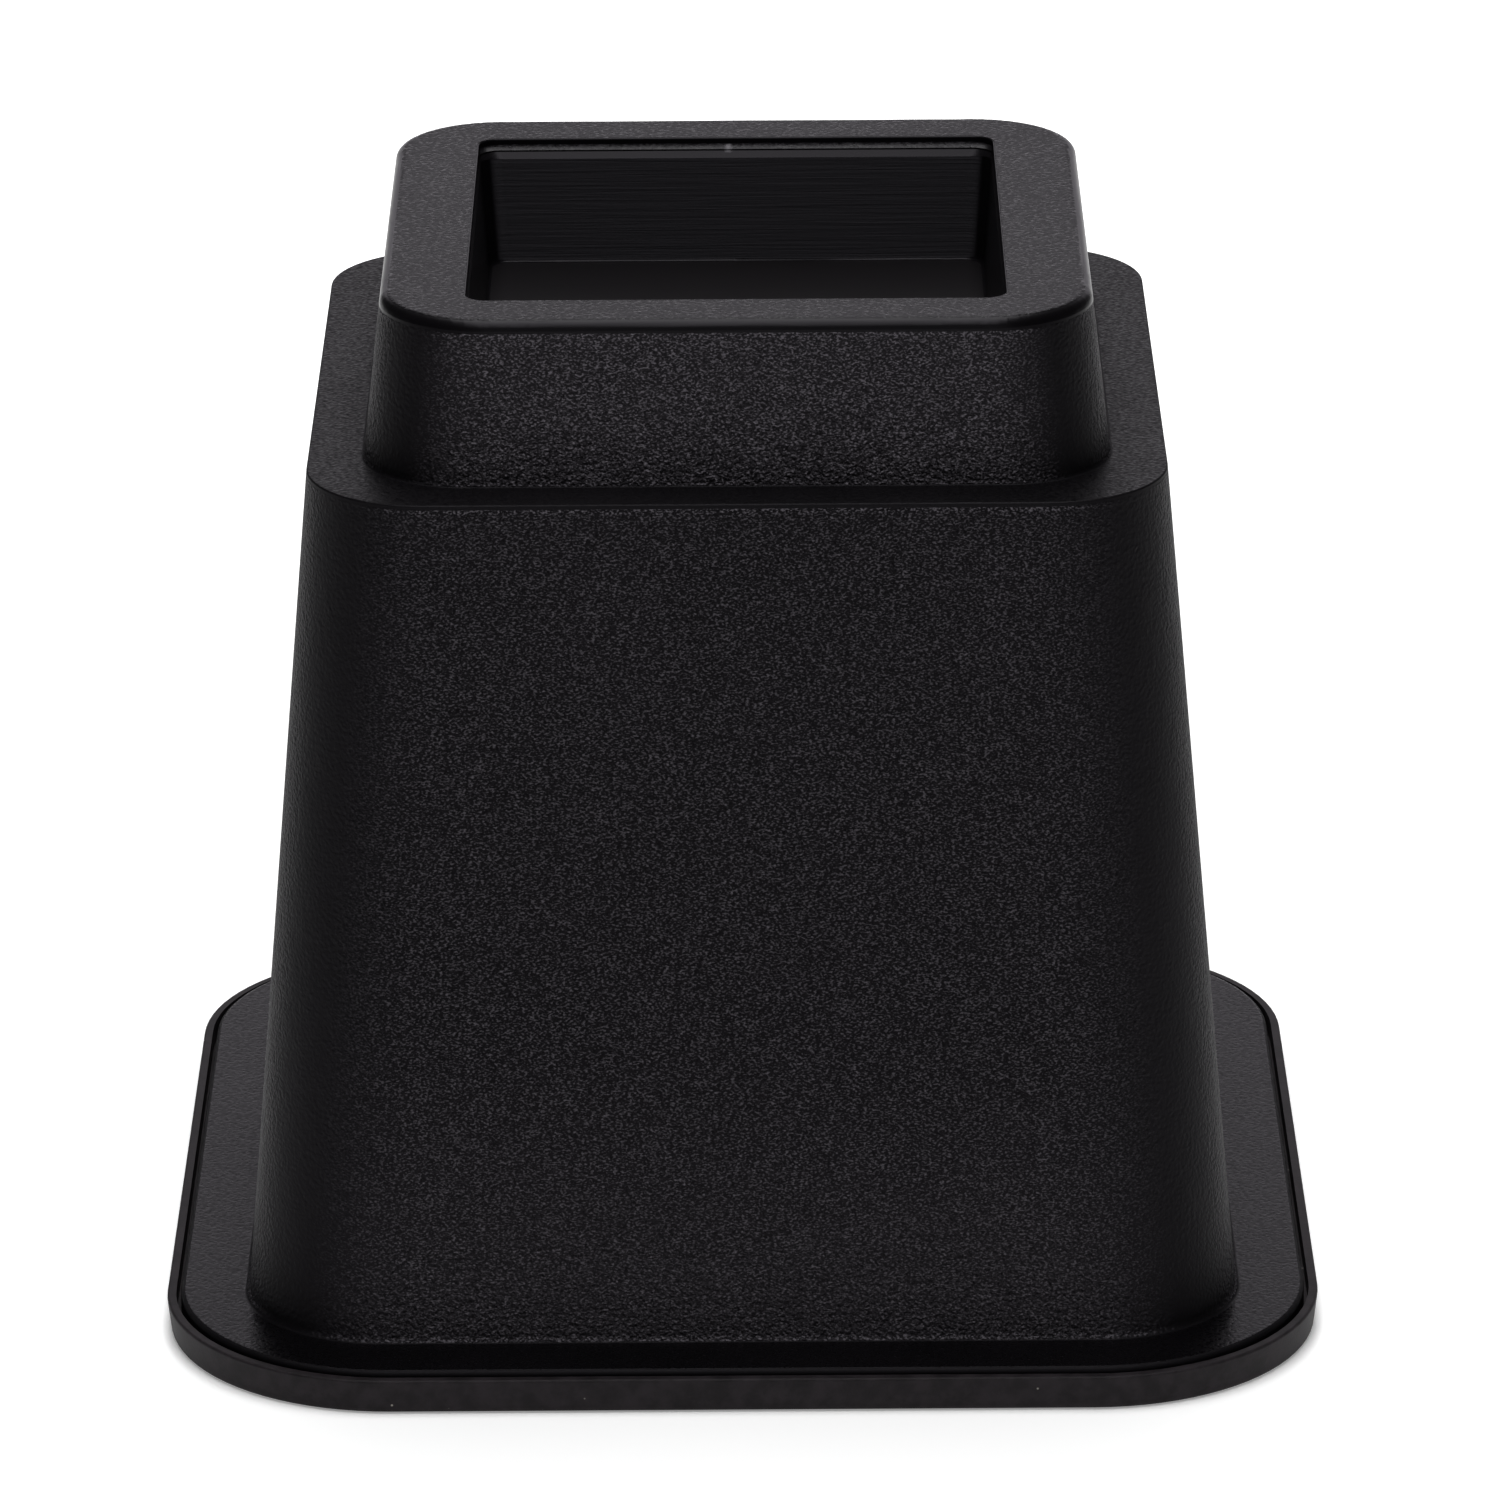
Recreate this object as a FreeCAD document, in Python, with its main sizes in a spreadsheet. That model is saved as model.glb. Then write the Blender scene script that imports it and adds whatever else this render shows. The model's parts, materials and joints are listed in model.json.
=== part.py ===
import FreeCAD, Part
import math
import os
import Sketcher

# Bed riser: a hollow moulded stand with a square socket in its top for the
# leg of a bed, standing in a rubber base ring that wraps the edge of its flange.
# Millimetres. Z is up and the origin lies on the floor, below the middle.

doc = FreeCAD.newDocument("bed_riser")

# Driving sizes
SIZES = (
    # the stand as a whole
    ("overall_height", 152.4),
    ("wall_thickness", 3.0),
    # tapered body, from its foot on the flange up to the shoulder
    ("foot_width", 143.4),
    ("foot_corner", 20.5),
    ("foot_fillet", 0.9),
    ("shoulder_width", 122.0),
    ("shoulder_corner", 17.4),
    ("shoulder_height", 128.8),
    ("shoulder_round", 0.25),
    # flange around the foot of the body
    ("flange_lip", 10.0),
    ("flange_corner", 31.6),
    ("flange_thickness", 3.8),
    ("flange_round", 0.8),
    # collar that stands on the shoulder, set back by the ledge
    ("ledge_depth", 7.9),
    ("collar_draft", 2.7),
    ("collar_corner", 15.2),
    ("collar_fillet", 0.5),
    ("collar_round", 1.6),
    # square socket in the collar
    ("socket_width", 76.2),
    ("socket_corner", 3.0),
    ("socket_draft", 1.2),
    ("socket_depth", 18.2),
    ("seat_thickness", 4.0),
    ("seat_fillet", 0.6),
    # mouth of the socket, with a stepped lip along its front and back
    ("mouth_step", 0.15),
    ("mouth_round", 0.3),
    ("lip_reach", 2.1),
    ("lip_drop", 0.9),
    ("lip_slope", 0.45),
    ("lip_step", 0.25),
    ("bevel_reach", 0.6),
    ("bevel_drop", 0.7),
    # crossed ribs under the seat
    ("rib_thickness", 2.6),
    # rubber base ring
    ("ring_floor", 2.0),
    ("rim_height", 5.2),
    ("rim_wall", 1.35),
    ("rim_gap", 0.7),
    ("rim_round", 0.4),
    ("ring_taper", 0.6),
    ("ring_foot_round", 0.8),
    ("ring_lap", 12.0),
)

sheet = doc.addObject("Spreadsheet::Sheet", "Sizes")
for row, (alias, value) in enumerate(SIZES, start=1):
    sheet.set("A%d" % row, alias)
    sheet.set("B%d" % row, str(value))
    sheet.setAlias("B%d" % row, alias)
doc.recompute()

# Sizes and levels that follow from the driving ones
FOOT = "Sizes.foot_width"
FLANGE = "(Sizes.foot_width + 2 * Sizes.flange_lip)"
SHOULDER = "Sizes.shoulder_width"
COLLAR_FOOT = "(Sizes.shoulder_width - 2 * Sizes.ledge_depth)"
COLLAR_TOP = "(Sizes.shoulder_width - 2 * Sizes.ledge_depth - 2 * Sizes.collar_draft)"
SOCKET = "Sizes.socket_width"
SOCKET_FLOOR = "(Sizes.socket_width - 2 * Sizes.socket_draft)"
MOUTH = "(Sizes.socket_width + 2 * Sizes.mouth_step)"
LIP_OUTER = "(Sizes.socket_width + 2 * Sizes.lip_reach)"
LIP_INNER = "(Sizes.socket_width + 2 * Sizes.bevel_reach)"
BEVEL_INNER = "(Sizes.socket_width - 2 * Sizes.bevel_reach)"
CUP = "(Sizes.socket_width + 2 * Sizes.wall_thickness)"
POCKET = "(Sizes.foot_width + 2 * Sizes.flange_lip + 2 * Sizes.rim_gap)"
RING = "(Sizes.foot_width + 2 * Sizes.flange_lip + 2 * Sizes.rim_gap + 2 * Sizes.rim_wall)"
WALL = "Sizes.wall_thickness"
MOUTH_CORNER = "(Sizes.socket_corner + Sizes.mouth_step)"
# width of the top land between collar and mouth, measured across a corner
PAST_COLLAR_CORNER = "max(0; {1} / 2 - {2} - {0} / 2 + Sizes.collar_corner)"
CORNER_LAND = "(Sizes.collar_corner - {0} - hypot({1}; {2}))".format(
    MOUTH_CORNER,
    PAST_COLLAR_CORNER.format(COLLAR_TOP, MOUTH, MOUTH_CORNER),
    PAST_COLLAR_CORNER.format(COLLAR_TOP, LIP_OUTER, MOUTH_CORNER),
)

FLOOR = "0"
FLANGE_BOTTOM = "Sizes.ring_floor"
FLANGE_TOP = "(Sizes.ring_floor + Sizes.flange_thickness)"
LEDGE = "Sizes.shoulder_height"
TOP = "Sizes.overall_height"
LIP_TOP = "(Sizes.overall_height - Sizes.lip_drop)"
LIP_FOOT = "(Sizes.overall_height - Sizes.lip_drop - Sizes.lip_slope)"
BEVEL_TOP = "(Sizes.overall_height - Sizes.lip_drop - Sizes.lip_slope - Sizes.lip_step)"
BEVEL_FOOT = "({0} - 2 * Sizes.bevel_drop)".format(BEVEL_TOP)
SEAT = "(Sizes.overall_height - Sizes.socket_depth)"
SEAT_BOTTOM = "(Sizes.overall_height - Sizes.socket_depth - Sizes.seat_thickness)"


def size(expression):
    """Value of a sheet expression in millimetres."""
    return float(sheet.evalExpression(expression))


def origin_feature(body, role):
    """Origin plane or axis of a body, found by its role."""
    for feature in body.Origin.OriginFeatures:
        if feature.Role == role:
            return feature
    raise RuntimeError("no origin feature " + role)


def rounded_square(body, name, level, width, corner):
    """Level sketch of a square with rounded corners, centred on the Z axis."""
    return rounded_rectangle(body, name, level, width, width, corner)


def rounded_rectangle(body, name, level, width, depth, corner):
    """Level sketch of a rectangle with rounded corners, centred on the Z axis."""
    sketch = body.newObject("Sketcher::SketchObject", name)
    sketch.AttachmentSupport = (origin_feature(body, "XY_Plane"), [""])
    sketch.MapMode = "FlatFace"
    sketch.setExpression("AttachmentOffset.Base.z", level)
    half_x = size(width) / 2
    half_y = size(depth) / 2
    radius = size(corner)
    inner_x = half_x - radius
    inner_y = half_y - radius
    up = FreeCAD.Vector(0, 0, 1)
    points = (
        (FreeCAD.Vector(-inner_x, -half_y, 0), FreeCAD.Vector(inner_x, -half_y, 0)),
        (FreeCAD.Vector(half_x, -inner_y, 0), FreeCAD.Vector(half_x, inner_y, 0)),
        (FreeCAD.Vector(inner_x, half_y, 0), FreeCAD.Vector(-inner_x, half_y, 0)),
        (FreeCAD.Vector(-half_x, inner_y, 0), FreeCAD.Vector(-half_x, -inner_y, 0)),
    )
    for start, end in points:
        sketch.addGeometry(Part.LineSegment(start, end), False)
    centres = (
        (inner_x, -inner_y), (inner_x, inner_y), (-inner_x, inner_y), (-inner_x, -inner_y)
    )
    for quarter, (x, y) in enumerate(centres):
        circle = Part.Circle(FreeCAD.Vector(x, y, 0), up, radius)
        first = math.pi / 2 * (quarter - 1)
        sketch.addGeometry(Part.ArcOfCircle(circle, first, first + math.pi / 2), False)
    # sides 0 to 3 run around the outline, and corner n follows side n
    for side in range(4):
        turn = 4 + side
        following = (side + 1) % 4
        sketch.addConstraint(Sketcher.Constraint("Tangent", side, 2, turn, 1))
        sketch.addConstraint(Sketcher.Constraint("Tangent", turn, 2, following, 1))
    sketch.addConstraint(Sketcher.Constraint("Horizontal", 0))
    sketch.addConstraint(Sketcher.Constraint("Vertical", 1))
    sketch.addConstraint(Sketcher.Constraint("Horizontal", 2))
    sketch.addConstraint(Sketcher.Constraint("Vertical", 3))
    for turn in (5, 6, 7):
        sketch.addConstraint(Sketcher.Constraint("Equal", 4, turn))
    sketch.addConstraint(Sketcher.Constraint("Symmetric", 5, 3, 7, 3, -1, 1))
    across = sketch.addConstraint(Sketcher.Constraint("DistanceX", 3, 1, 1, 1, 2 * half_x))
    sketch.renameConstraint(across, "width")
    sketch.setExpression("Constraints.width", width)
    along = sketch.addConstraint(Sketcher.Constraint("DistanceY", 0, 1, 2, 1, 2 * half_y))
    sketch.renameConstraint(along, "depth")
    sketch.setExpression("Constraints.depth", depth)
    rounding = sketch.addConstraint(Sketcher.Constraint("Radius", 4, radius))
    sketch.renameConstraint(rounding, "corner")
    sketch.setExpression("Constraints.corner", corner)
    return sketch


def loft(body, kind, name, lower, *higher):
    """Straight-sided loft from a level sketch through the ones above it."""
    feature = body.newObject("PartDesign::" + kind, name)
    feature.Profile = (lower, [""])
    feature.Sections = [(outline, [""]) for outline in higher]
    feature.Ruled = True
    doc.recompute()
    return feature


def pad(body, name, sketch, length):
    """Pad of a level sketch, upwards."""
    feature = body.newObject("PartDesign::Pad", name)
    feature.Profile = sketch
    feature.setExpression("Length", length)
    doc.recompute()
    return feature


def pocket(body, name, sketch, length):
    """Pocket from a level sketch, downwards."""
    before = body.Shape.Volume
    feature = body.newObject("PartDesign::Pocket", name)
    feature.Profile = sketch
    feature.setExpression("Length", length)
    doc.recompute()
    if not body.Shape.Volume < before:
        raise RuntimeError(name + " cuts nothing")
    return feature


def outline_edges(shape, level, width, depth):
    """Names of the edges at a level that run along a centred rectangular outline."""
    names = []
    for number, edge in enumerate(shape.Edges, start=1):
        box = edge.BoundBox
        reach_x = max(abs(box.XMin), abs(box.XMax))
        reach_y = max(abs(box.YMin), abs(box.YMax))
        flat = abs(box.ZMin - level) < 0.001 and abs(box.ZMax - level) < 0.001
        past = reach_x > width / 2 + 0.001 or reach_y > depth / 2 + 0.001
        touching = abs(reach_x - width / 2) < 0.001 or abs(reach_y - depth / 2) < 0.001
        if flat and touching and not past:
            names.append("Edge%d" % number)
    return names


def round_outline(body, name, level, width, radius, depth=None):
    """Fillet along a centred outline of the body's tip, square unless it has a depth."""
    base = body.Tip
    names = outline_edges(base.Shape, size(level), size(width), size(depth or width))
    if len(names) < 8:
        raise RuntimeError(name + " finds no whole outline")
    feature = body.newObject("PartDesign::Fillet", name)
    feature.Base = (base, names)
    feature.setExpression("Radius", radius)
    doc.recompute()
    return feature


# Moulded riser: flange, tapered body, collar and socket in one hollow piece
riser = doc.addObject("PartDesign::Body", "RiserBody")
riser.Label = "riser_body"
riser.Placement = FreeCAD.Placement()

# flange, resting on the floor of the rubber ring
flange_outline = rounded_square(riser, "FlangeOutline", FLANGE_BOTTOM, FLANGE, "Sizes.flange_corner")
pad(riser, "Flange", flange_outline, "Sizes.flange_thickness")

# tapered body on the flange
foot_outline = rounded_square(riser, "FootOutline", FLANGE_TOP, FOOT, "Sizes.foot_corner")
shoulder_outline = rounded_square(riser, "ShoulderOutline", LEDGE, SHOULDER, "Sizes.shoulder_corner")
loft(riser, "AdditiveLoft", "TaperedBody", foot_outline, shoulder_outline)

# drafted collar on the shoulder
collar_foot = rounded_square(riser, "CollarFoot", LEDGE, COLLAR_FOOT, "Sizes.collar_corner")
collar_top = rounded_square(riser, "CollarTop", TOP, COLLAR_TOP, "Sizes.collar_corner")
loft(riser, "AdditiveLoft", "Collar", collar_foot, collar_top)

# outer edges and inner corners of the outside
round_outline(riser, "FlangeEdge", FLANGE_TOP, FLANGE, "Sizes.flange_round")
round_outline(riser, "FootCorner", FLANGE_TOP, FOOT, "Sizes.foot_fillet")
round_outline(riser, "ShoulderEdge", LEDGE, SHOULDER, "Sizes.shoulder_round")
round_outline(riser, "CollarCorner", LEDGE, COLLAR_FOOT, "Sizes.collar_fillet")
# the land leaves each of its two rounds at most 0.4 of its width
round_outline(riser, "CollarEdge", TOP, COLLAR_TOP, "min(Sizes.collar_round; 0.4 * " + CORNER_LAND + ")")

# hollow of the body, open below
hollow_foot = rounded_square(
    riser, "HollowFoot", FLANGE_BOTTOM,
    FOOT + " - 2 * " + WALL, "Sizes.foot_corner - " + WALL,
)
hollow_shoulder = rounded_square(
    riser, "HollowShoulder", LEDGE + " - " + WALL,
    SHOULDER + " - 2 * " + WALL, "Sizes.shoulder_corner - " + WALL,
)
loft(riser, "SubtractiveLoft", "BodyHollow", hollow_foot, hollow_shoulder)

# hollow of the collar, above it
hollow_collar_foot = rounded_square(
    riser, "HollowCollarFoot", LEDGE + " - " + WALL,
    COLLAR_FOOT + " - 2 * " + WALL, "Sizes.collar_corner - " + WALL,
)
hollow_collar_top = rounded_square(
    riser, "HollowCollarTop", TOP + " - " + WALL,
    COLLAR_TOP + " - 2 * " + WALL, "Sizes.collar_corner - " + WALL,
)
loft(riser, "SubtractiveLoft", "CollarHollow", hollow_collar_foot, hollow_collar_top)

# cup around the socket, hanging from the top
cup_outline = rounded_square(riser, "CupOutline", SEAT_BOTTOM, CUP, "Sizes.socket_corner + " + WALL)
pad(
    riser, "Cup", cup_outline,
    "Sizes.socket_depth + Sizes.seat_thickness - Sizes.wall_thickness / 2",
)

# crossed ribs from wall to wall, which carry the seat down to the base
rib_profile = riser.newObject("Sketcher::SketchObject", "RibProfile")
rib_profile.AttachmentSupport = (origin_feature(riser, "XZ_Plane"), [""])
rib_profile.MapMode = "FlatFace"
RIB_OUTLINE = (
    ("foot", "{0} / 2 - {1} / 2".format(FOOT, WALL), FLANGE_BOTTOM),
    ("shoulder", "{0} / 2 - {1} / 2".format(SHOULDER, WALL), "{0} - {1} / 2".format(LEDGE, WALL)),
    ("ledge", "{0} / 2 - {1} / 2".format(COLLAR_FOOT, WALL), "{0} - {1} / 2".format(LEDGE, WALL)),
    ("top", "{0} / 2 - {1} / 2".format(COLLAR_TOP, WALL), "{0} - {1} / 2".format(TOP, WALL)),
)
right = [FreeCAD.Vector(size(reach), size(level), 0) for _, reach, level in RIB_OUTLINE]
left = [FreeCAD.Vector(-point.x, point.y, 0) for point in reversed(right)]
loop = right + left
for number, point in enumerate(loop):
    rib_profile.addGeometry(Part.LineSegment(point, loop[(number + 1) % 8]), False)
for number in range(8):
    rib_profile.addConstraint(Sketcher.Constraint("Coincident", number, 2, (number + 1) % 8, 1))
for number in range(4):
    rib_profile.addConstraint(Sketcher.Constraint("Symmetric", number, 1, 7 - number, 1, -2))
for number, (name, reach, level) in enumerate(RIB_OUTLINE):
    index = rib_profile.addConstraint(
        Sketcher.Constraint("DistanceX", -1, 1, number, 1, size(reach))
    )
    rib_profile.renameConstraint(index, name + "_reach")
    rib_profile.setExpression("Constraints." + name + "_reach", reach)
    index = rib_profile.addConstraint(
        Sketcher.Constraint("DistanceY", -1, 1, number, 1, size(level))
    )
    rib_profile.renameConstraint(index, name + "_level")
    rib_profile.setExpression("Constraints." + name + "_level", level)
rib = riser.newObject("PartDesign::Pad", "Rib")
rib.Profile = rib_profile
rib.SideType = "Symmetric"
rib.setExpression("Length", "Sizes.rib_thickness")
doc.recompute()
cross = riser.newObject("PartDesign::PolarPattern", "RibCross")
cross.Originals = [rib]
cross.Axis = (origin_feature(riser, "Z_Axis"), [""])
cross.Angle = 90
cross.Occurrences = 2
riser.Tip = cross
doc.recompute()

# socket for the leg, drafted towards its seat
seat_outline = rounded_square(riser, "SeatOutline", SEAT, SOCKET_FLOOR, "Sizes.socket_corner")
socket_outline = rounded_square(riser, "SocketOutline", TOP, SOCKET, "Sizes.socket_corner")
loft(riser, "SubtractiveLoft", "Socket", seat_outline, socket_outline)

# lip of the mouth, from below: bevel, step, slope and drop along the front and back
lip_outlines = [
    rounded_rectangle(riser, name, level, width, depth, MOUTH_CORNER)
    for name, level, width, depth in (
        ("BevelFoot", BEVEL_FOOT, BEVEL_INNER, BEVEL_INNER),
        ("BevelTop", BEVEL_TOP, MOUTH, LIP_INNER),
        ("LipFoot", LIP_FOOT, MOUTH, LIP_INNER),
        ("LipTop", LIP_TOP, MOUTH, LIP_OUTER),
        ("MouthOutline", TOP, MOUTH, LIP_OUTER),
    )
]
loft(riser, "SubtractiveLoft", "MouthLip", *lip_outlines)
round_outline(
    riser, "MouthEdge", TOP, MOUTH, "min(Sizes.mouth_round; 0.4 * " + CORNER_LAND + ")", LIP_OUTER
)
round_outline(riser, "SeatCorner", SEAT, SOCKET_FLOOR, "Sizes.seat_fillet")

# Rubber base ring: a flat floor under the flange and a rim around its edge
ring = doc.addObject("PartDesign::Body", "BaseRing")
ring.Label = "base_ring"
ring.Placement = FreeCAD.Placement()

ring_foot = rounded_square(
    ring, "RingFoot", FLOOR,
    RING + " - 2 * Sizes.ring_taper",
    "Sizes.flange_corner + Sizes.rim_gap + Sizes.rim_wall - Sizes.ring_taper",
)
ring_rim = rounded_square(
    ring, "RingRim", "Sizes.rim_height", RING,
    "Sizes.flange_corner + Sizes.rim_gap + Sizes.rim_wall",
)
loft(ring, "AdditiveLoft", "RingBlank", ring_foot, ring_rim)

# seat for the flange, with the gap around its edge
flange_pocket = rounded_square(
    ring, "FlangePocket", "Sizes.rim_height", POCKET, "Sizes.flange_corner + Sizes.rim_gap"
)
pocket(ring, "FlangeSeat", flange_pocket, "Sizes.rim_height - Sizes.ring_floor")

# open middle, so that the floor only laps under the flange
opening_outline = rounded_square(
    ring, "OpeningOutline", FLANGE_BOTTOM,
    FLANGE + " - 2 * Sizes.ring_lap", "Sizes.flange_corner - Sizes.ring_lap",
)
pocket(ring, "Opening", opening_outline, "Sizes.ring_floor")

# soft edges of the rim and of the foot
round_outline(ring, "RimEdge", "Sizes.rim_height", RING, "Sizes.rim_round")
round_outline(
    ring, "FootEdge", FLOOR, RING + " - 2 * Sizes.ring_taper",
    "Sizes.ring_foot_round",
)

doc.recompute()

# Nothing is written unless every feature is sound
for item in doc.Objects:
    if "Invalid" in item.State or "Error" in item.State:
        raise RuntimeError(item.Name + " did not build: " + str(item.State))
subparts = (riser, ring)
for subpart in subparts:
    if subpart.Shape.isNull() or not subpart.Shape.isValid():
        raise RuntimeError(subpart.Label + " has no valid shape")
    if len(subpart.Shape.Solids) != 1:
        raise RuntimeError(subpart.Label + " is not one solid")

os.makedirs("parts", exist_ok=True)
for subpart in subparts:
    subpart.Shape.exportStep("parts/" + subpart.Label + ".step")
    box = subpart.Shape.BoundBox
    print(
        subpart.Label, "volume", round(subpart.Shape.Volume, 1),
        "x", round(box.XMin, 3), round(box.XMax, 3),
        "y", round(box.YMin, 3), round(box.YMax, 3),
        "z", round(box.ZMin, 3), round(box.ZMax, 3),
    )
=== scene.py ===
"""Bed riser of black moulded plastic in a rubber base ring, on a pale studio floor.

All lengths are in metres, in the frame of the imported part: Z is up, the part stands at
zero and the photographed side faces -Y.
"""

import json
import logging
import math
from dataclasses import dataclass
from enum import Enum
from functools import partial, reduce

import bpy
from mathutils import Matrix, Vector

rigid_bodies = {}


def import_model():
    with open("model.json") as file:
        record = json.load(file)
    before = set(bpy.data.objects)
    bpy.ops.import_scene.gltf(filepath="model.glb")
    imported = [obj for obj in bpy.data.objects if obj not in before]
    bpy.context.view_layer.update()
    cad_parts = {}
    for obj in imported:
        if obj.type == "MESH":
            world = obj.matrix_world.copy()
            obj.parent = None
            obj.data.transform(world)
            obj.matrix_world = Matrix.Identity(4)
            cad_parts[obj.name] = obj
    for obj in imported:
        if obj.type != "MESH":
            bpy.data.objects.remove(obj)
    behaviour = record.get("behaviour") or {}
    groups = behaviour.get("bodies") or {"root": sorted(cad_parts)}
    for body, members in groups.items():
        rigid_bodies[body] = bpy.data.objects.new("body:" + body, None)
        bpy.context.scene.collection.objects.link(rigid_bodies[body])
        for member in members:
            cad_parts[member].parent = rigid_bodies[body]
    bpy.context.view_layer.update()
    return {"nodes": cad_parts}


LOG = logging.getLogger("bed_riser")
MILLIMETRE = 0.001
NOISE_MEAN = 0.5
LATTICE_TURN = (0.62, 0.47, 0.81)
MIX_COLOURS = (6, 7)
MIX_RESULT = 2

Socket = bpy.types.NodeSocket
Signal = bpy.types.NodeSocket | float
Span = tuple[float, float]
Triple = tuple[float, float, float]


class Part(Enum):
    """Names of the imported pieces."""

    RISER = "riser_body"
    RING = "base_ring"


class Change(Enum):
    """How a mapped value goes from one end of its range to the other."""

    EVEN = "LINEAR"
    SMOOTH = "SMOOTHSTEP"


@dataclass(frozen=True)
class Noise:
    """Settings of a noise: cells per unit, number of finer octaves and their strength."""

    scale: float
    detail: float
    roughness: float


class NodeSheet:
    """Short calls that lay out the shader nodes of one material or world."""

    def __init__(self, tree: bpy.types.NodeTree) -> None:
        """Empty a node tree and keep it for the calls below."""
        self.tree = tree
        self.tree.nodes.clear()

    def node(self, kind: str) -> bpy.types.Node:
        """Add a node of one kind."""
        return self.tree.nodes.new(kind)

    def feed(self, socket: Socket, value: Signal | tuple[float, ...]) -> None:
        """Link a socket to another one, or set its value.

        Args:
            socket: input socket that receives the value.
            value: output socket, number or several numbers.
        """
        if isinstance(value, Socket):
            self.tree.links.new(value, socket)
        else:
            socket.default_value = value

    def math(self, operation: str, *values: Signal) -> Socket:
        """Add a Math node.

        Args:
            operation: name of the operation, such as MULTIPLY.
            values: one or two operands.

        Returns:
            The result.
        """
        node = self.node("ShaderNodeMath")
        node.operation = operation
        for socket, value in zip(node.inputs, values):
            self.feed(socket, value)
        return node.outputs[0]

    def total(self, first: Signal, *others: Signal) -> Signal:
        """Add several values up."""
        return reduce(partial(self.math, "ADD"), others, first)

    def product(self, first: Signal, *others: Signal) -> Signal:
        """Multiply several values."""
        return reduce(partial(self.math, "MULTIPLY"), others, first)

    def greatest(self, first: Signal, *others: Signal) -> Signal:
        """Greatest of several values."""
        return reduce(partial(self.math, "MAXIMUM"), others, first)

    def inverse(self, value: Signal) -> Socket:
        """One minus a value."""
        return self.math("SUBTRACT", 1.0, value)

    def swing(self, noise: Socket) -> Socket:
        """Departure of a noise from its mean."""
        return self.math("SUBTRACT", noise, NOISE_MEAN)

    def remap(
        self, value: Signal, low: float, high: float, start: float, end: float,
        change: Change = Change.EVEN,
    ) -> Socket:
        """Map a value from one range to another.

        Args:
            value: value to map.
            low: value that gives start.
            high: value that gives end.
            start: result at low.
            end: result at high.
            change: how the result goes from start to end.

        Returns:
            The mapped value, held between start and end.
        """
        node = self.node("ShaderNodeMapRange")
        node.interpolation_type = change.value
        node.clamp = True
        for socket, number in zip(node.inputs, (value, low, high, start, end)):
            self.feed(socket, number)
        return node.outputs[0]

    def ramp(self, value: Signal, low: float, high: float) -> Socket:
        """Smooth step from 0 at low to 1 at high."""
        return self.remap(value, low, high, 0.0, 1.0, Change.SMOOTH)

    def fall(self, value: Signal, low: float, high: float) -> Socket:
        """Smooth step from 1 at low to 0 at high."""
        return self.inverse(self.ramp(value, low, high))

    def band(self, value: Signal, low: float, high: float, soft: float) -> Socket:
        """One between two levels and nothing outside them.

        Args:
            value: value to test.
            low: lower level.
            high: upper level.
            soft: width of the change at each level, inside the band.

        Returns:
            The mask.
        """
        rise = self.ramp(value, low, low + soft)
        fall = self.fall(value, high - soft, high)
        return self.product(rise, fall)

    def split(self, vector: Socket) -> tuple[Socket, Socket, Socket]:
        """Separate a vector into its three parts.

        Args:
            vector: vector to separate.

        Returns:
            Its parts along X, Y and Z.
        """
        node = self.node("ShaderNodeSeparateXYZ")
        self.feed(node.inputs[0], vector)
        return node.outputs[0], node.outputs[1], node.outputs[2]

    def stretch(self, vector: Socket, factors: Triple) -> Socket:
        """Multiply a vector by a factor on each axis.

        Args:
            vector: vector to stretch.
            factors: factors on X, Y and Z.

        Returns:
            The stretched vector.
        """
        node = self.node("ShaderNodeVectorMath")
        node.operation = "MULTIPLY"
        self.feed(node.inputs[0], vector)
        self.feed(node.inputs[1], factors)
        return node.outputs[0]

    def turn(self, vector: Socket) -> Socket:
        """Turn coordinates, so that no plane of a noise's lattice lies along a wall.

        Args:
            vector: coordinates.

        Returns:
            The turned coordinates.
        """
        node = self.node("ShaderNodeVectorRotate")
        node.rotation_type = "EULER_XYZ"
        self.feed(node.inputs["Vector"], vector)
        self.feed(node.inputs["Rotation"], LATTICE_TURN)
        return node.outputs[0]

    def noise(self, vector: Socket, noise: Noise) -> Socket:
        """Add a Noise texture.

        Args:
            vector: coordinates, which are turned first.
            noise: settings of the noise.

        Returns:
            Noise between 0 and 1.
        """
        node = self.node("ShaderNodeTexNoise")
        self.feed(node.inputs["Vector"], self.turn(vector))
        self.feed(node.inputs["Scale"], noise.scale)
        self.feed(node.inputs["Detail"], noise.detail)
        self.feed(node.inputs["Roughness"], noise.roughness)
        return node.outputs["Fac"]

    def cells(self, vector: Socket, scale: float) -> tuple[Socket, Socket]:
        """Distance to the nearest scattered point, and a random number of that point.

        Args:
            vector: coordinates.
            scale: cells per unit of the coordinates.

        Returns:
            The distance, in cells, and the random number between 0 and 1.
        """
        node = self.node("ShaderNodeTexVoronoi")
        self.feed(node.inputs["Vector"], vector)
        self.feed(node.inputs["Scale"], scale)
        chance = self.split(node.outputs["Color"])[0]
        return node.outputs["Distance"], chance

    def tint(self, share: Signal, first: Socket | Triple, second: Triple) -> Socket:
        """Mix two colours.

        Args:
            share: share of the second colour.
            first: colour at share 0.
            second: colour at share 1.

        Returns:
            The mixed colour.
        """
        node = self.node("ShaderNodeMix")
        node.data_type = "RGBA"
        self.feed(node.inputs["Factor"], share)
        for index, colour in zip(MIX_COLOURS, (first, second)):
            value = colour if isinstance(colour, Socket) else (*colour, 1.0)
            self.feed(node.inputs[index], value)
        return node.outputs[MIX_RESULT]

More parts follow.
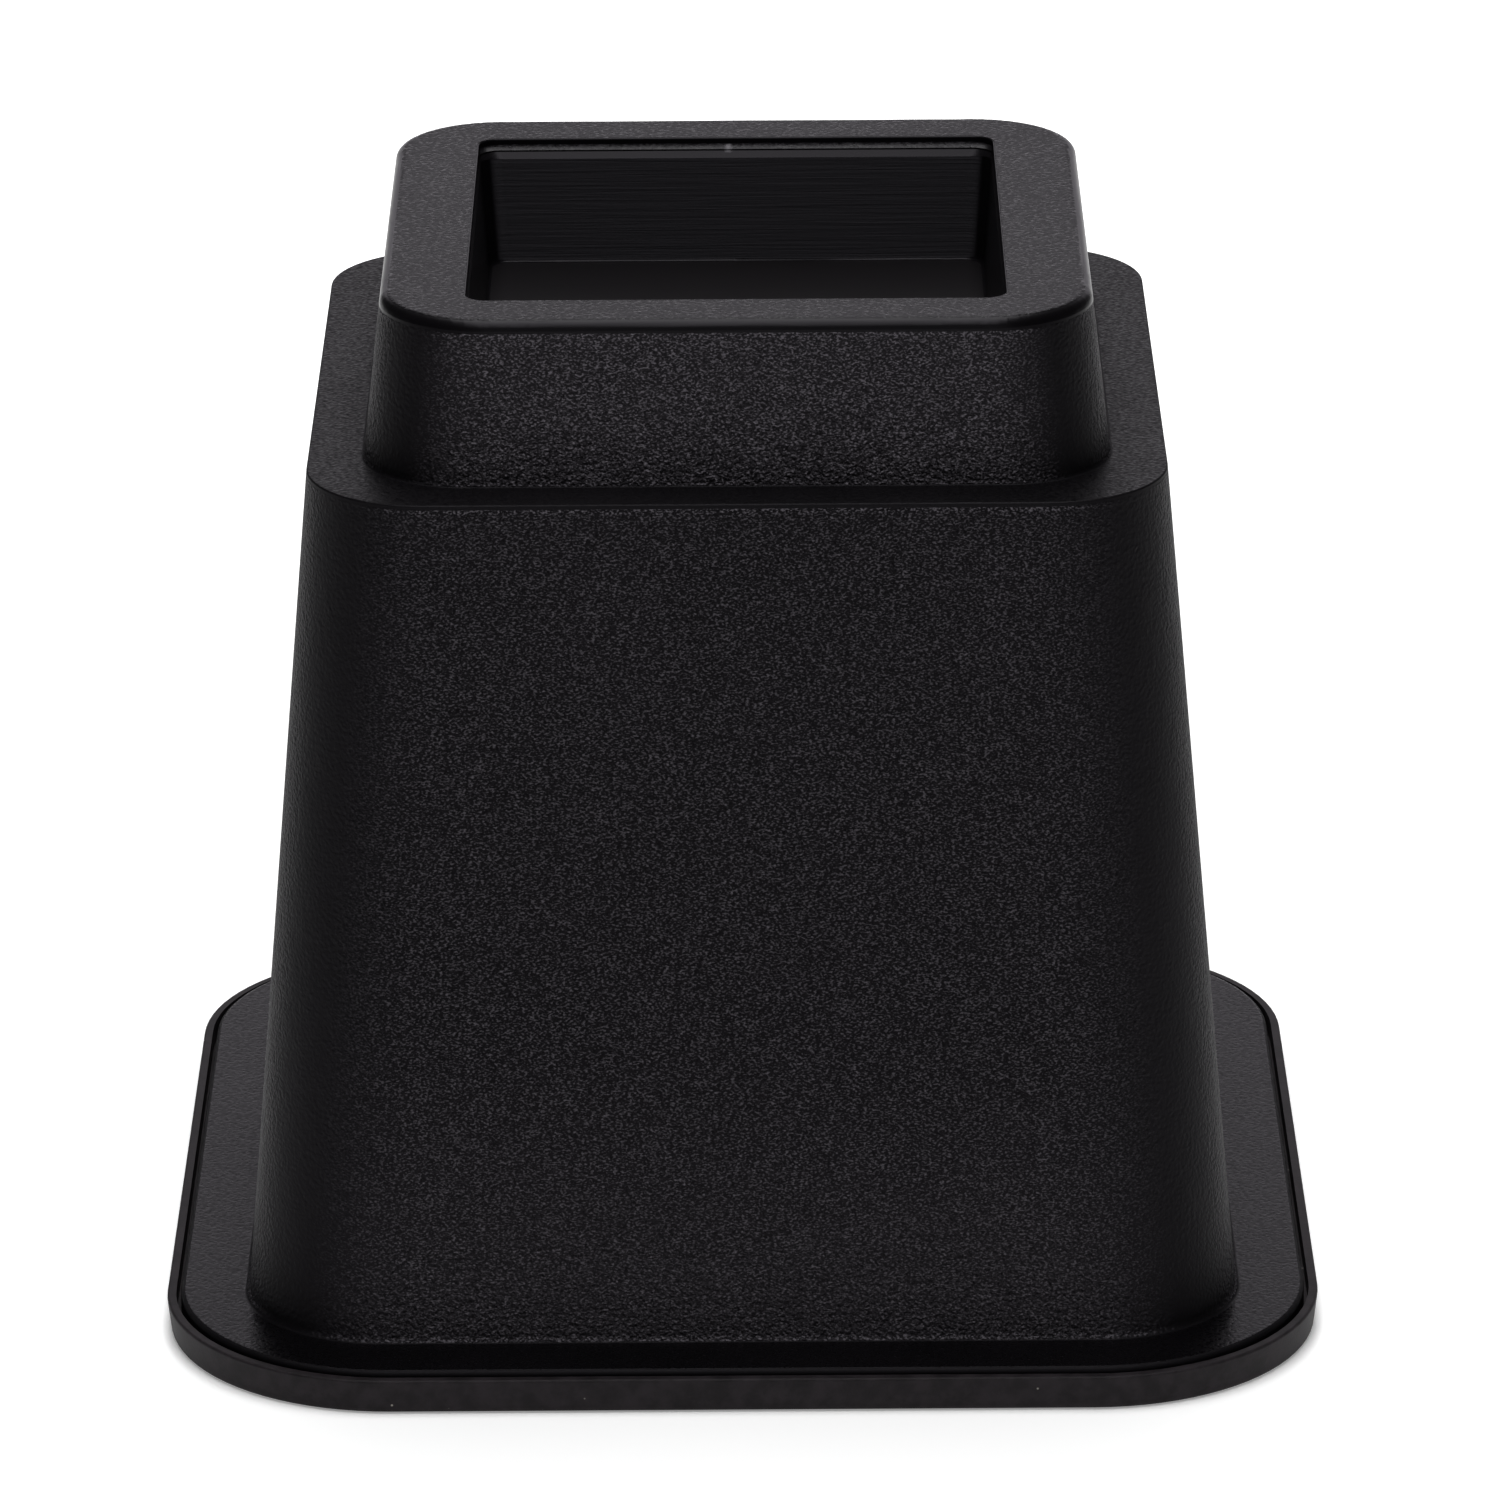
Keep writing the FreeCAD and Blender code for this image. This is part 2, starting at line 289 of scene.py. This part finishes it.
    def bump(self, height: Socket) -> Socket:
        """Bend the normal by a relief.

        Args:
            height: height of the relief in millimetres.

        Returns:
            The bent normal.
        """
        node = self.node("ShaderNodeBump")
        self.feed(node.inputs["Strength"], 1.0)
        self.feed(node.inputs["Distance"], MILLIMETRE)
        self.feed(node.inputs["Height"], height)
        return node.outputs["Normal"]

    def show(self, shader: Socket, output: str = "ShaderNodeOutputMaterial") -> None:
        """Link a shader to a new output node."""
        self.feed(self.node(output).inputs["Surface"], shader)

    def surface(
        self, colour: Socket, roughness: Socket, specular: float, normal: Socket,
        specular_tint: Triple = (1.0, 1.0, 1.0),
    ) -> None:
        """Lay out the shader of a solid surface and show it.

        Args:
            colour: base colour.
            roughness: roughness of the gloss.
            specular: level of the gloss.
            normal: normal with the fine relief.
            specular_tint: colour of the gloss.
        """
        shader = self.node("ShaderNodeBsdfPrincipled")
        self.feed(shader.inputs["Base Color"], colour)
        self.feed(shader.inputs["Roughness"], roughness)
        self.feed(shader.inputs["Specular IOR Level"], specular)
        self.feed(shader.inputs["Specular Tint"], (*specular_tint, 1.0))
        self.feed(shader.inputs["Normal"], normal)
        self.show(shader.outputs["BSDF"])


@dataclass(frozen=True)
class SatinPlastic:
    """Black moulded plastic: grained walls, finer level faces and drag lines in the socket.

    Depths are in millimetres and scales in cells per metre. The noise of the painted
    sparkle and the drag lines are stretched, and have a scale for each axis. The pale
    specks are painted sparkle highlights on the grained walls and the land, the crest lines
    at the borders of the grain get a painted highlight, and the collar and the foot of the
    body a band of painted light.
    """

    name: str = "satin_black_plastic"
    colour: Triple = (0.0020, 0.0018, 0.0022)
    colour_worn: Triple = (0.0030, 0.0026, 0.0032)
    colour_seat: Triple = (0.0063, 0.0057, 0.0063)
    colour_dragged: Triple = (0.0215, 0.0205, 0.0234)
    # pale colour of the painted sparkle highlights and of the painted light
    colour_painted_sparkle: Triple = (0.1040, 0.0960, 0.1090)
    # colour of a small pale spot on the back lip of the socket
    colour_pale_spot: Triple = (0.0800, 0.0760, 0.0830)
    specular: float = 0.085
    specular_tint: Triple = (0.96, 0.91, 1.0)
    roughness: float = 0.30
    roughness_walls: float = 0.55
    roughness_ledge: float = 0.48
    roughness_land: float = 0.42
    roughness_dragged: float = 0.60
    roughness_cloud: float = 0.08
    roughness_pores: float = 1.2
    cloud: Noise = Noise(38.0, 3.0, 0.6)
    cloud_span: Span = (0.35, 0.7)
    grain: Noise = Noise(1700.0, 1.0, 0.45)
    grain_depth: float = 0.85
    grain_step: float = 0.10
    # stretched noise that picks out the painted sparkle highlights on the walls
    painted_sparkle_noise: Noise = Noise(1.0, 1.5, 0.5)
    painted_sparkle_scale: Triple = (2400.0, 2400.0, 4100.0)
    # strengths of the painted sparkle highlights on body, collar, crest lines and land
    painted_sparkle_span: Span = (0.50, 0.74)
    painted_sparkle_body: float = 0.80
    painted_sparkle_collar: float = 1.35
    painted_highlight_crest: float = 1.3
    painted_sparkle_land: float = 0.26
    # painted light: an even lift towards the pale colour on the collar and at the foot of
    # the body
    painted_light_collar: float = 0.09
    painted_light_foot: float = 0.14
    pores: Noise = Noise(1650.0, 1.5, 0.5)
    pore_depth: float = 0.16
    pores_flange: float = 0.50
    pores_ledge: float = 0.70
    drag: Noise = Noise(1.0, 2.0, 0.5)
    drag_scale: Triple = (60.0, 60.0, 2400.0)
    drag_depth: float = 0.12
    skin: Noise = Noise(5200.0, 1.0, 0.5)
    skin_depth: float = 0.004


@dataclass(frozen=True)
class GripRubber:
    """Matte black rubber with a dusting of pale specks.

    Depths and heights are in millimetres, scales in cells per metre and the edge of a speck
    in cells.
    """

    name: str = "matte_grip_rubber"
    colour: Triple = (0.0062, 0.0047, 0.0057)
    colour_dull: Triple = (0.0182, 0.0146, 0.0172)
    colour_dust: Triple = (0.33, 0.31, 0.28)
    specular: float = 0.17
    roughness: float = 0.62
    roughness_cloud: float = 0.12
    cloud: Noise = Noise(330.0, 4.0, 0.65)
    cloud_span: Span = (0.32, 0.68)
    skin: Noise = Noise(2600.0, 2.0, 0.55)
    skin_depth: float = 0.030
    dust_scale: float = 620.0
    dust_share: float = 0.045
    dust_edge: Span = (0.05, 0.14)
    dust_height: float = 0.03


@dataclass(frozen=True)
class StudioPaper:
    """Pale paper of the studio floor, lifted to white where it is seen.

    The lift grows with the distance from the part, over the reach that is given.
    """

    name: str = "pale_studio_paper"
    colour: Triple = (0.93, 0.93, 0.93)
    lift: float = 0.26
    lift_far: float = 0.90
    lift_reach: Span = (0.25, 0.70)


def new_material(name: str) -> tuple[bpy.types.Material, NodeSheet]:
    """Make an empty material.

    Args:
        name: name of the material.

    Returns:
        The material and the sheet of its nodes.
    """
    material = bpy.data.materials.new(name)
    material.use_nodes = True
    return material, NodeSheet(material.node_tree)


def add_object(name: str, data: bpy.types.ID) -> bpy.types.Object:
    """Make an object and put it into the scene.

    Args:
        name: name of the object.
        data: its mesh, lamp or camera.

    Returns:
        The object.
    """
    item = bpy.data.objects.new(name, data)
    bpy.context.scene.collection.objects.link(item)
    return item


def assign(piece: bpy.types.Object, material: bpy.types.Material) -> None:
    """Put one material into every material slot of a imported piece."""
    for slot in piece.material_slots:
        slot.material = material


@dataclass
class MouldedRiser:
    """The hollow plastic riser: flange, tapered body, ledge, collar and leg socket.

    A span gives the two ends of a band, or of a change from one zone to the next. Facings
    are parts of the unit normal, and corner_fade is the distance from the nearer middle
    plane over that from the other one.
    """

    finish: SatinPlastic
    body_grain: Span = (0.00590, 0.12825)
    collar_grain: Span = (0.12890, 0.15070)
    grain_edge: float = 0.00022
    corner_fade: Span = (0.64, 0.95)
    corner_share: float = 0.15
    # width of the bands of painted highlight at the borders of the grain
    crest: float = 0.0011
    # reach of the painted light up from the foot of the body
    foot_reach: float = 0.055
    upward_facing: Span = (0.93, 0.99)
    outward_reach: Span = (0.005, 0.015)
    outer_half: Span = (0.0450, 0.0460)
    upper_level: Span = (0.1190, 0.1200)
    land_level: Span = (0.1495, 0.1505)
    socket_half: Span = (0.0379, 0.0381)
    seat_level: Span = (0.1331, 0.1341)
    drag_facing: Span = (0.75, 0.97)
    # place of the small pale spot on the back lip of the socket
    pale_spot_across: Span = (-0.0019, -0.0004)
    pale_spot_across_soft: float = 0.0007
    pale_spot_depth: Span = (0.0379, 0.0402)
    pale_spot_depth_soft: float = 0.0004
    pale_spot_rise: Span = (0.1505, 0.1507)
    pale_spot_fall: Span = (0.1519, 0.1521)

    def wall_masks(
        self, sheet: NodeSheet, z: Socket, outward: Socket, flat: Socket
    ) -> dict[str, Socket]:
        """Find the zones of the outside walls.

        Args:
            sheet: node sheet of the material.
            z: height above the floor.
            outward: mask of the outside walls.
            flat: mask that fades towards the corners; the painted highlights fade with it,
                which paints shade on the corners.

        Returns:
            Masks named body, foot, collar, crest, walls and outside. Body, collar and crest
            carry the painted sparkle highlights, crest also the painted highlight lines at
            the borders of the grain, and foot the painted light at the foot of the body.
        """
        foot, shoulder = self.body_grain
        rim = self.collar_grain[1]
        body = sheet.product(outward, sheet.band(z, *self.body_grain, self.grain_edge))
        collar = sheet.product(outward, sheet.band(z, *self.collar_grain, self.grain_edge))
        # bands of painted highlight along the top of the body, the rim of the collar and
        # the foot of the body
        crest = sheet.total(
            sheet.product(body, sheet.ramp(z, shoulder - self.crest, shoulder)),
            sheet.product(collar, sheet.ramp(z, rim - self.crest, rim)),
            sheet.product(body, sheet.fall(z, foot, foot + self.crest)),
        )
        # painted light that grows towards the foot of the body
        low = sheet.remap(z, foot, foot + self.foot_reach, 1.0, 0.0)
        cornered = sheet.remap(flat, 0.0, 1.0, self.corner_share, 1.0)
        # body, foot, collar and crest carry painted light; fading them with flat paints
        # shade on the corners
        return {
            "body": sheet.product(body, flat),
            "foot": sheet.product(body, flat, low, low),
            "collar": sheet.product(collar, flat),
            "crest": sheet.product(crest, flat),
            "walls": sheet.product(sheet.total(body, collar), cornered),
            "outside": sheet.product(outward, sheet.fall(z, rim - self.grain_edge, rim)),
        }

    def face_masks(self, sheet: NodeSheet, z: Socket, faces: Socket) -> dict[str, Socket]:
        """Find the zones of the level faces.

        Args:
            sheet: node sheet of the material.
            z: height above the floor.
            faces: mask of the level faces, without the seat.

        Returns:
            Masks named upper, for the ledge and the land, land, and porous, which is the
            strength of the pores on each face.
        """
        finish = self.finish
        upper = sheet.product(faces, sheet.ramp(z, *self.upper_level))
        land = sheet.product(faces, sheet.ramp(z, *self.land_level))
        porous = sheet.total(
            sheet.product(faces, finish.pores_flange),
            sheet.product(upper, finish.pores_ledge - finish.pores_flange),
            sheet.product(land, 1.0 - finish.pores_ledge),
        )
        return {"upper": upper, "land": land, "porous": porous}

    def pale_spot(self, sheet: NodeSheet, x: Socket, y: Socket, z: Socket) -> Socket:
        """Find the small pale spot in the back lip of the socket.

        Args:
            sheet: node sheet of the material.
            x: place across the part.
            y: place from front to back.
            z: height above the floor.

        Returns:
            The mask.
        """
        return sheet.product(
            sheet.band(x, *self.pale_spot_across, self.pale_spot_across_soft),
            sheet.band(y, *self.pale_spot_depth, self.pale_spot_depth_soft),
            sheet.ramp(z, *self.pale_spot_rise),
            sheet.fall(z, *self.pale_spot_fall),
        )

    def masks(self, sheet: NodeSheet, place: Socket, facing: Socket) -> dict[str, Socket]:
        """Find the zones of the moulding from the place and the facing of its surface.

        Args:
            sheet: node sheet of the material.
            place: object coordinates.
            facing: object-space normal.

        Returns:
            The masks of the walls and of the level faces, and those named dragged, seat
            and nick.
        """
        x, y, z = sheet.split(place)
        facing_x, facing_y, facing_z = sheet.split(facing)
        reach = sheet.total(sheet.product(x, facing_x), sheet.product(y, facing_y))
        off_x = sheet.math("ABSOLUTE", x)
        off_y = sheet.math("ABSOLUTE", y)
        within = sheet.greatest(off_x, off_y)
        aside = sheet.math("DIVIDE", sheet.math("MINIMUM", off_x, off_y), within)
        upward = sheet.ramp(facing_z, *self.upward_facing)
        upright = sheet.inverse(upward)
        outward = sheet.product(
            sheet.ramp(reach, *self.outward_reach),
            sheet.ramp(within, *self.outer_half),
            upright,
        )
        inside = sheet.product(
            sheet.fall(within, *self.socket_half), sheet.ramp(z, *self.seat_level)
        )
        across = sheet.ramp(sheet.math("ABSOLUTE", facing_y), *self.drag_facing)
        # flat fades the painted highlights away towards the corners, which paints shade on
        # them, and thins the grain relief there
        flat = sheet.fall(aside, *self.corner_fade)
        faces = sheet.product(upward, sheet.inverse(inside))
        return {
            **self.wall_masks(sheet, z, outward, flat),
            **self.face_masks(sheet, z, faces),
            "dragged": sheet.product(inside, upright, across),
            "seat": sheet.product(inside, upward),
            "pale_spot": self.pale_spot(sheet, x, y, z),
        }

    def height(
        self, sheet: NodeSheet, place: Socket, pores: Socket, zones: dict[str, Socket]
    ) -> Socket:
        """Lay out the fine relief of the moulding.

        Args:
            sheet: node sheet of the material.
            place: object coordinates.
            pores: noise of the level faces.
            zones: masks of the zones.

        Returns:
            Height in millimetres.
        """
        finish = self.finish
        grain = sheet.swing(sheet.noise(place, finish.grain))
        pebbles = sheet.total(sheet.product(grain, finish.grain_depth), finish.grain_step)
        dragged = sheet.noise(sheet.stretch(place, finish.drag_scale), finish.drag)
        skin = sheet.noise(place, finish.skin)
        return sheet.total(
            sheet.product(zones["walls"], pebbles),
            sheet.product(zones["porous"], pores, finish.pore_depth),
            sheet.product(zones["dragged"], dragged, finish.drag_depth),
            sheet.product(skin, finish.skin_depth),
        )

    def colour(
        self, sheet: NodeSheet, place: Socket, cloud: Socket, pores: Socket,
        zones: dict[str, Socket],
    ) -> Socket:
        """Lay out the colour of the moulding, with painted sparkle highlights on the walls
        and the land, and painted light on the collar and at the foot of the body.

        Args:
            sheet: node sheet of the material.
            place: object coordinates.
            cloud: slow noise of the whole surface.
            pores: noise of the level faces.
            zones: masks of the zones.

        Returns:
            The colour.
        """
        finish = self.finish
        # painted sparkle highlights: a stretched noise on the walls and the pore noise on
        # the land pick out pale specks
        painted_sparkle_noise = sheet.noise(sheet.stretch(place, finish.painted_sparkle_scale), finish.painted_sparkle_noise)
        painted_sparkle_walls = sheet.remap(painted_sparkle_noise, *finish.painted_sparkle_span, 0.0, 1.0)
        painted_sparkle_on_land = sheet.remap(pores, *finish.painted_sparkle_span, 0.0, 1.0)
        # strength of the painted sparkle on body and collar, and of the painted highlight
        # lines on the crests
        strength = sheet.total(
            sheet.product(zones["body"], finish.painted_sparkle_body),
            sheet.product(zones["collar"], finish.painted_sparkle_collar),
            sheet.product(zones["crest"], finish.painted_highlight_crest),
        )
        # share of the pale colour: painted sparkle highlights, and painted light on the
        # collar and at the foot of the body
        specks = sheet.total(
            sheet.product(painted_sparkle_walls, strength),
            sheet.product(painted_sparkle_on_land, zones["land"], finish.painted_sparkle_land),
            sheet.product(zones["collar"], finish.painted_light_collar),
            sheet.product(zones["foot"], finish.painted_light_foot),
        )
        worn = sheet.ramp(cloud, *finish.cloud_span)
        clean = sheet.tint(worn, finish.colour, finish.colour_worn)
        seated = sheet.tint(zones["seat"], clean, finish.colour_seat)
        dragged = sheet.tint(zones["dragged"], seated, finish.colour_dragged)
        # lays the painted sparkle and the painted light over the colour
        grained = sheet.tint(specks, dragged, finish.colour_painted_sparkle)
        return sheet.tint(zones["pale_spot"], grained, finish.colour_pale_spot)

    def roughness(
        self, sheet: NodeSheet, cloud: Socket, pores: Socket, zones: dict[str, Socket]
    ) -> Socket:
        """Lay out the roughness of the moulding.

        Args:
            sheet: node sheet of the material.
            cloud: slow noise of the whole surface.
            pores: noise of the level faces.
            zones: masks of the zones.

        Returns:
            The roughness.
        """
        finish = self.finish
        return sheet.total(
            finish.roughness,
            sheet.product(zones["dragged"], finish.roughness_dragged - finish.roughness),
            sheet.product(zones["outside"], finish.roughness_walls - finish.roughness),
            sheet.product(zones["upper"], finish.roughness_ledge - finish.roughness),
            sheet.product(zones["land"], finish.roughness_land - finish.roughness_ledge),
            sheet.product(sheet.swing(cloud), finish.roughness_cloud),
            sheet.product(zones["porous"], sheet.swing(pores), finish.roughness_pores),
        )

    def material(self) -> bpy.types.Material:
        """Make the material of the moulding.

        Returns:
            The material.
        """
        finish = self.finish
        material, sheet = new_material(finish.name)
        source = sheet.node("ShaderNodeTexCoord")
        place = source.outputs["Object"]
        zones = self.masks(sheet, place, source.outputs["Normal"])
        cloud = sheet.noise(place, finish.cloud)
        pores = sheet.noise(place, finish.pores)
        sheet.surface(
            self.colour(sheet, place, cloud, pores, zones),
            self.roughness(sheet, cloud, pores, zones),
            finish.specular,
            sheet.bump(self.height(sheet, place, pores, zones)),
            finish.specular_tint,
        )
        return material

    def dress(self, piece: bpy.types.Object) -> None:
        """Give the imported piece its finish.

        Args:
            piece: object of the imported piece.
        """
        assign(piece, self.material())
        LOG.info("%s dressed in %s", piece.name, self.finish.name)


@dataclass
class BaseRing:
    """The rubber ring around and under the edge of the flange."""

    finish: GripRubber

    def material(self) -> bpy.types.Material:
        """Make the material of the ring.

        Returns:
            The material.
        """
        finish = self.finish
        material, sheet = new_material(finish.name)
        place = sheet.node("ShaderNodeTexCoord").outputs["Object"]
        cloud = sheet.noise(place, finish.cloud)
        skin = sheet.noise(place, finish.skin)
        distance, chance = sheet.cells(place, finish.dust_scale)
        speck = sheet.product(
            sheet.fall(distance, *finish.dust_edge),
            sheet.math("LESS_THAN", chance, finish.dust_share),
        )
        dull = sheet.ramp(cloud, *finish.cloud_span)
        rubber = sheet.tint(dull, finish.colour, finish.colour_dull)
        relief = sheet.total(
            sheet.product(skin, finish.skin_depth), sheet.product(speck, finish.dust_height)
        )
        sheet.surface(
            sheet.tint(speck, rubber, finish.colour_dust),
            sheet.total(
                finish.roughness, sheet.product(sheet.swing(cloud), finish.roughness_cloud)
            ),
            finish.specular,
            sheet.bump(relief),
        )
        return material

    def dress(self, piece: bpy.types.Object) -> None:
        """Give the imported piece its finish.

        Args:
            piece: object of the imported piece.
        """
        assign(piece, self.material())
        LOG.info("%s dressed in %s", piece.name, self.finish.name)


@dataclass(frozen=True)
class Softbox:
    """One soft lamp: a bright rectangle that faces a target, with its spread in degrees."""

    name: str
    width: float
    length: float
    place: Triple
    target: Triple
    brightness: float
    spread: float = 180.0
    tint: Triple = (1.0, 1.0, 1.0)

    def build(self) -> bpy.types.Object:
        """Hang the lamp.

        Returns:
            The lamp object.
        """
        lamp = bpy.data.lights.new(self.name, "AREA")
        lamp.shape = "RECTANGLE"
        lamp.size = self.width
        lamp.size_y = self.length
        lamp.energy = self.brightness * math.pi * self.width * self.length
        lamp.spread = math.radians(self.spread)
        lamp.color = self.tint
        hung = add_object(self.name, lamp)
        aim = Vector(self.target) - Vector(self.place)
        turn = aim.to_track_quat("-Z", "Y").to_matrix().to_4x4()
        hung.matrix_world = Matrix.Translation(self.place) @ turn
        hung.visible_camera = False
        return hung


@dataclass
class PhotoCamera:
    """Camera at the photograph's place, with its angles in degrees.

    The lens and the sensor are in millimetres.
    """

    name: str = "photo_camera"
    lens: float = 221.455
    sensor: float = 36.0
    distance: float = 1.368195
    elevation: float = 20.2097
    yaw: float = 0.0325
    roll: float = -0.3623
    aside: float = 0.0015575
    aim_height: float = 0.0697317
    nearest: float = 0.05
    farthest: float = 60.0

    def build(self) -> bpy.types.Object:
        """Set the camera up and make it the scene's own.

        Returns:
            The camera object.
        """
        yaw = math.radians(self.yaw)
        elevation = math.radians(self.elevation)
        roll = math.radians(self.roll)
        level = Vector((math.cos(yaw), math.sin(yaw), 0.0))
        aim = self.aside * level + Vector((0.0, 0.0, self.aim_height))
        back = Vector((
            math.sin(yaw) * math.cos(elevation),
            -math.cos(yaw) * math.cos(elevation),
            math.sin(elevation),
        ))
        upright = back.cross(level)
        right = math.cos(roll) * level + math.sin(roll) * upright
        up = math.cos(roll) * upright - math.sin(roll) * level
        eye = aim + self.distance * back
        data = bpy.data.cameras.new(self.name)
        data.lens = self.lens
        data.sensor_width = self.sensor
        data.clip_start = self.nearest
        data.clip_end = self.farthest
        camera = add_object(self.name, data)
        turn = Matrix((right, up, back)).transposed().to_4x4()
        camera.matrix_world = Matrix.Translation(eye) @ turn
        bpy.context.scene.camera = camera
        return camera


@dataclass
class Studio:
    """Pale floor, soft lamps and the quiet room around them."""

    paper: StudioPaper
    floor_half: float = 6.0
    floor_level: float = -0.0002
    room: float = 0.05
    lamps: tuple[Softbox, ...] = (
        Softbox("top_panel", 0.36, 1.70, (0.0, 0.02, 0.82), (0.0, 0.0, 0.12), 3.2, 125.0),
        Softbox(
            "back_panel", 1.5, 0.88, (0.08, 1.6, 0.48), (0.0, 0.0, 0.15), 0.82,
            tint=(1.0, 0.95, 1.03),
        ),
        Softbox("front_panel", 0.66, 0.75, (0.12, -1.0, 0.38), (0.0, 0.0, 0.30), 0.55),
    )

    def floor(self) -> bpy.types.Object:
        """Lay the floor, a little below the part.

        Returns:
            The floor object.
        """
        half = self.floor_half
        sides = ((-half, -half), (half, -half), (half, half), (-half, half))
        corners = [(x, y, self.floor_level) for x, y in sides]
        mesh = bpy.data.meshes.new("studio_floor")
        mesh.from_pydata(corners, [], [(0, 1, 2, 3)])
        mesh.materials.append(self.paper_material())
        floor = add_object("studio_floor", mesh)
        return floor

    def paper_material(self) -> bpy.types.Material:
        """Make the floor's material, white where it is seen and open from below.

        Returns:
            The material.
        """
        paper = self.paper
        material, sheet = new_material(paper.name)
        matte = sheet.node("ShaderNodeBsdfDiffuse")
        sheet.feed(matte.inputs["Color"], (*paper.colour, 1.0))
        path = sheet.node("ShaderNodeLightPath")
        seen = sheet.greatest(
            path.outputs["Is Camera Ray"],
            path.outputs["Is Glossy Ray"],
            path.outputs["Is Transmission Ray"],
        )
        x, y, _ = sheet.split(sheet.node("ShaderNodeTexCoord").outputs["Object"])
        reach = sheet.math("SQRT", sheet.total(sheet.product(x, x), sheet.product(y, y)))
        lift = sheet.remap(reach, *paper.lift_reach, paper.lift, paper.lift_far)
        glow = sheet.node("ShaderNodeEmission")
        sheet.feed(glow.inputs["Strength"], sheet.product(seen, lift))
        lit = sheet.node("ShaderNodeAddShader")
        sheet.feed(lit.inputs[0], matte.outputs["BSDF"])
        sheet.feed(lit.inputs[1], glow.outputs["Emission"])
        open_below = sheet.node("ShaderNodeBsdfTransparent")
        side = sheet.node("ShaderNodeNewGeometry").outputs["Backfacing"]
        mixed = sheet.node("ShaderNodeMixShader")
        sheet.feed(mixed.inputs["Fac"], side)
        sheet.feed(mixed.inputs[1], lit.outputs["Shader"])
        sheet.feed(mixed.inputs[2], open_below.outputs["BSDF"])
        sheet.show(mixed.outputs["Shader"])
        return material

    def surroundings(self) -> None:
        """Fill the room with dim plain light."""
        world = bpy.data.worlds.new("quiet_room")
        world.use_nodes = True
        sheet = NodeSheet(world.node_tree)
        glow = sheet.node("ShaderNodeBackground")
        sheet.feed(glow.inputs["Color"], (1.0, 1.0, 1.0, 1.0))
        sheet.feed(glow.inputs["Strength"], self.room)
        sheet.show(glow.outputs["Background"], "ShaderNodeOutputWorld")
        bpy.context.scene.world = world

    def build(self) -> None:
        """Lay the floor, hang the lamps and set the plain view of colours."""
        floor = self.floor()
        LOG.info("%s laid", floor.name)
        self.surroundings()
        for lamp in self.lamps:
            hung = lamp.build()
            LOG.info("lamp %s hung", hung.name)
        bpy.context.scene.view_settings.view_transform = "Standard"


def clear_scene() -> None:
    """Remove what the start-up file brings."""
    for item in list(bpy.data.objects):
        bpy.data.objects.remove(item)


def main() -> None:
    """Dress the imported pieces, then set the studio and the camera around them."""
    logging.basicConfig(level=logging.INFO, format="%(name)s: %(message)s")
    clear_scene()
    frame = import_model()
    nodes = frame["nodes"]
    MouldedRiser(SatinPlastic()).dress(nodes[Part.RISER.value])
    BaseRing(GripRubber()).dress(nodes[Part.RING.value])
    Studio(StudioPaper()).build()
    camera = PhotoCamera().build()
    LOG.info("%s set", camera.name)


if __name__ == "__main__":
    main()
